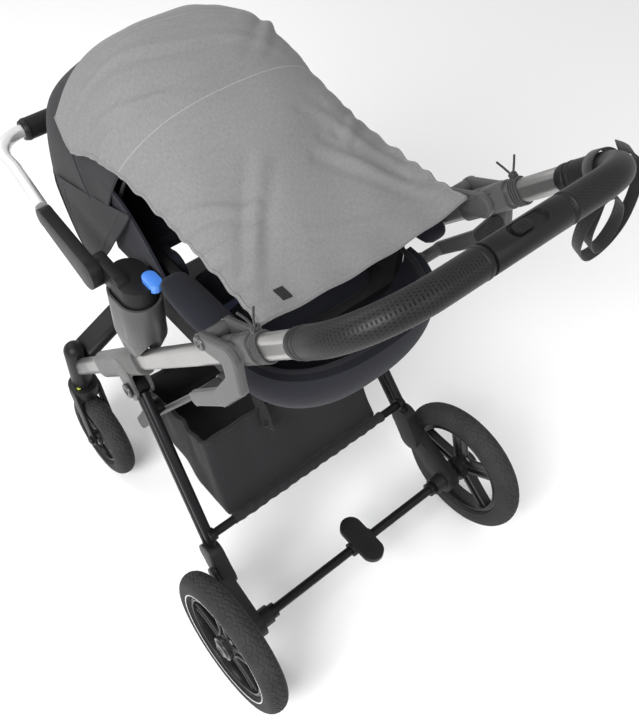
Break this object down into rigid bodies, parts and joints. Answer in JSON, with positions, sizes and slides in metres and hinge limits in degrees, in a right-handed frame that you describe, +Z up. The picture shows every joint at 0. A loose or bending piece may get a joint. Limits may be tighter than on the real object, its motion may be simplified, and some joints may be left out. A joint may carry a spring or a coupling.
{
  "type": "pushchair",
  "caption": "Four-wheel all-terrain pushchair with folding frame, flat parent-facing seat, hood, swung bumper bar, basket and a grey sunshade tied from hood to push bar.",
  "frame": {"origin": "on the ground, in the middle of the model's box", "axes": "+Z up, +Y forwards in the travel direction, +X to the pusher's right, parallel to the axles"},
  "size_m": [0.632, 0.8677, 1.0963],
  "materials": {
    "frame_tube": "satin warm grey",
    "frame_casting": "satin dark grey",
    "grey_bracket": "satin grey moulding",
    "black_tube": "satin black",
    "black_plastic": "fine grain",
    "seat_shell": "fine grain",
    "rim": "satin black",
    "tyre": "moulded rubber",
    "grip_leather": "perforated, stitched",
    "bumper_metal": "bright satin",
    "seat_fabric": "woven navy black",
    "hood_fabric": "woven charcoal",
    "hood_bow": "smooth",
    "shade_fabric": "knitted grey jersey",
    "basket_fabric": "woven black",
    "webbing": "webbing",
    "elastic": "braided elastic",
    "button_blue": "gloss"
  },
  "bodies": {
    "chassis": {"main_tube_left": "frame_tube", "main_tube_right": "frame_tube", "casting_left": "frame_casting", "casting_right": "frame_casting", "adapter_left": "grey_bracket", "adapter_right": "grey_bracket", "front_bridge": "black_plastic", "swivel_left": "black_plastic", "swivel_right": "black_plastic", "hinge_base_left": "grey_bracket", "hinge_base_right": "grey_bracket", "seat_hub_left": "black_plastic", "seat_hub_right": "black_plastic", "seat_tub": "seat_shell", "seat_cushion": "seat_fabric", "arm_rail_left": "seat_fabric", "arm_rail_right": "seat_fabric", "harness": "webbing", "basket": "basket_fabric", "shade": "shade_fabric"},
    "push_bar": {"handle_bar": "frame_tube", "grip_left": "grip_leather", "grip_right": "grip_leather", "grip_housing": "black_plastic", "hinge_arm_left": "grey_bracket", "hinge_arm_right": "grey_bracket", "shade_ties": "elastic", "wrist_strap": "webbing"},
    "fold_slider": {"fold_slider": "black_plastic"},
    "rear_frame": {"rear_leg_left": "black_tube", "rear_leg_right": "black_tube", "basket_bar": "black_tube", "axle_tube": "black_tube", "hub_carrier_left": "black_plastic", "hub_carrier_right": "black_plastic"},
    "brake_pedal": {"brake_pedal": "black_plastic"},
    "rear_wheel_left": {"rear_tyre_left": "tyre", "rear_rim_left": "rim"},
    "rear_wheel_right": {"rear_tyre_right": "tyre", "rear_rim_right": "rim"},
    "fork_left": {"front_fork_left": "black_plastic"},
    "fork_right": {"front_fork_right": "black_plastic"},
    "front_wheel_left": {"front_tyre_left": "tyre", "front_rim_left": "rim"},
    "front_wheel_right": {"front_tyre_right": "tyre", "front_rim_right": "rim"},
    "link_left": {"link_left": "grey_bracket"},
    "link_right": {"link_right": "grey_bracket"},
    "backrest": {"backrest": "seat_fabric", "hood_hinges": "black_plastic", "hood_rear": "hood_fabric"},
    "hood_front": {"hood_front": "hood_fabric", "hood_bow_front": "hood_bow"},
    "hood_mid": {"hood_bow_mid": "hood_bow"},
    "bumper": {"bumper_arms": "black_plastic", "bumper_tube": "bumper_metal", "bumper_grip": "grip_leather"},
    "leg_rest": {"leg_rest": "seat_fabric"},
    "release_left": {"release_button_left": "button_blue"},
    "release_right": {"release_button_right": "button_blue"}
  },
  "joints": [
    {"name": "frame_fold", "type": "hinge", "parent": "chassis", "child": "rear_frame", "pos_m": [0, 0.08968, 0.4877], "axis": [-1, 0, 0], "range_deg": [0, 64]},
    {"name": "push_bar_fold", "type": "hinge", "parent": "chassis", "child": "push_bar", "pos_m": [0, -0.16368, 0.85297], "axis": [-1, 0, 0], "range_deg": [0, 64]},
    {"name": "link_left_pivot", "type": "hinge", "parent": "rear_frame", "child": "link_left", "pos_m": [-0.191, 0.12119, 0.33639], "axis": [-1, 0, 0], "range_deg": [-64, 0]},
    {"name": "link_right_pivot", "type": "hinge", "parent": "rear_frame", "child": "link_right", "pos_m": [0.191, 0.12119, 0.33639], "axis": [-1, 0, 0], "range_deg": [-64, 0]},
    {"name": "backrest_recline", "type": "hinge", "parent": "chassis", "child": "backrest", "pos_m": [0, 0.05587, 0.745], "axis": [1, 0, 0], "range_deg": [0, 45], "deforming": ["shade"]},
    {"name": "hood_fold", "type": "hinge", "parent": "backrest", "child": "hood_front", "pos_m": [0, 0.15987, 0.772], "axis": [-1, 0, 0], "range_deg": [0, 48]},
    {"name": "hood_mid_fold", "type": "hinge", "parent": "backrest", "child": "hood_mid", "pos_m": [0, 0.15987, 0.772], "axis": [-1, 0, 0], "range_deg": [0, 24]},
    {"name": "bumper_swing", "type": "hinge", "parent": "chassis", "child": "bumper", "pos_m": [0, 0.10787, 0.764], "axis": [1, 0, 0], "range_deg": [0, 42]},
    {"name": "leg_rest_tilt", "type": "hinge", "parent": "chassis", "child": "leg_rest", "pos_m": [0, -0.12213, 0.65], "axis": [-1, 0, 0], "range_deg": [-45, 0]},
    {"name": "release_left_press", "type": "slide", "parent": "chassis", "child": "release_left", "axis": [0, 0, -1], "range_m": [0, 0.004], "stiffness_N_per_m": 400, "springref_m": -0.004},
    {"name": "release_right_press", "type": "slide", "parent": "chassis", "child": "release_right", "axis": [0, 0, -1], "range_m": [0, 0.004], "stiffness_N_per_m": 400, "springref_m": -0.004},
    {"name": "fold_slider_slide", "type": "slide", "parent": "push_bar", "child": "fold_slider", "axis": [1, 0, 0], "range_m": [0, 0.012], "stiffness_N_per_m": 300, "springref_m": -0.006},
    {"name": "brake_pedal_rock", "type": "hinge", "parent": "rear_frame", "child": "brake_pedal", "pos_m": [0, -0.25013, 0.145], "axis": [1, 0, 0], "range_deg": [0, 16]},
    {"name": "rear_wheel_left_spin", "type": "hinge", "parent": "rear_frame", "child": "rear_wheel_left", "pos_m": [-0.293, -0.25013, 0.145], "axis": [1, 0, 0], "continuous": true},
    {"name": "rear_wheel_right_spin", "type": "hinge", "parent": "rear_frame", "child": "rear_wheel_right", "pos_m": [0.293, -0.25013, 0.145], "axis": [1, 0, 0], "continuous": true},
    {"name": "fork_left_swivel", "type": "hinge", "parent": "chassis", "child": "fork_left", "pos_m": [-0.218, 0.34987, 0.23], "axis": [0, 0, 1], "continuous": true},
    {"name": "fork_right_swivel", "type": "hinge", "parent": "chassis", "child": "fork_right", "pos_m": [0.218, 0.34987, 0.23], "axis": [0, 0, 1], "continuous": true},
    {"name": "front_wheel_left_spin", "type": "hinge", "parent": "fork_left", "child": "front_wheel_left", "pos_m": [-0.218, 0.30487, 0.099], "axis": [1, 0, 0], "continuous": true},
    {"name": "front_wheel_right_spin", "type": "hinge", "parent": "fork_right", "child": "front_wheel_right", "pos_m": [0.218, 0.30487, 0.099], "axis": [1, 0, 0], "continuous": true}
  ],
  "couplings": [
    {"joint": "push_bar_fold", "follows": "frame_fold", "ratio": 1},
    {"joint": "link_left_pivot", "follows": "frame_fold", "ratio": -1},
    {"joint": "link_right_pivot", "follows": "frame_fold", "ratio": -1},
    {"joint": "hood_mid_fold", "follows": "hood_fold", "ratio": 0.5}
  ]
}
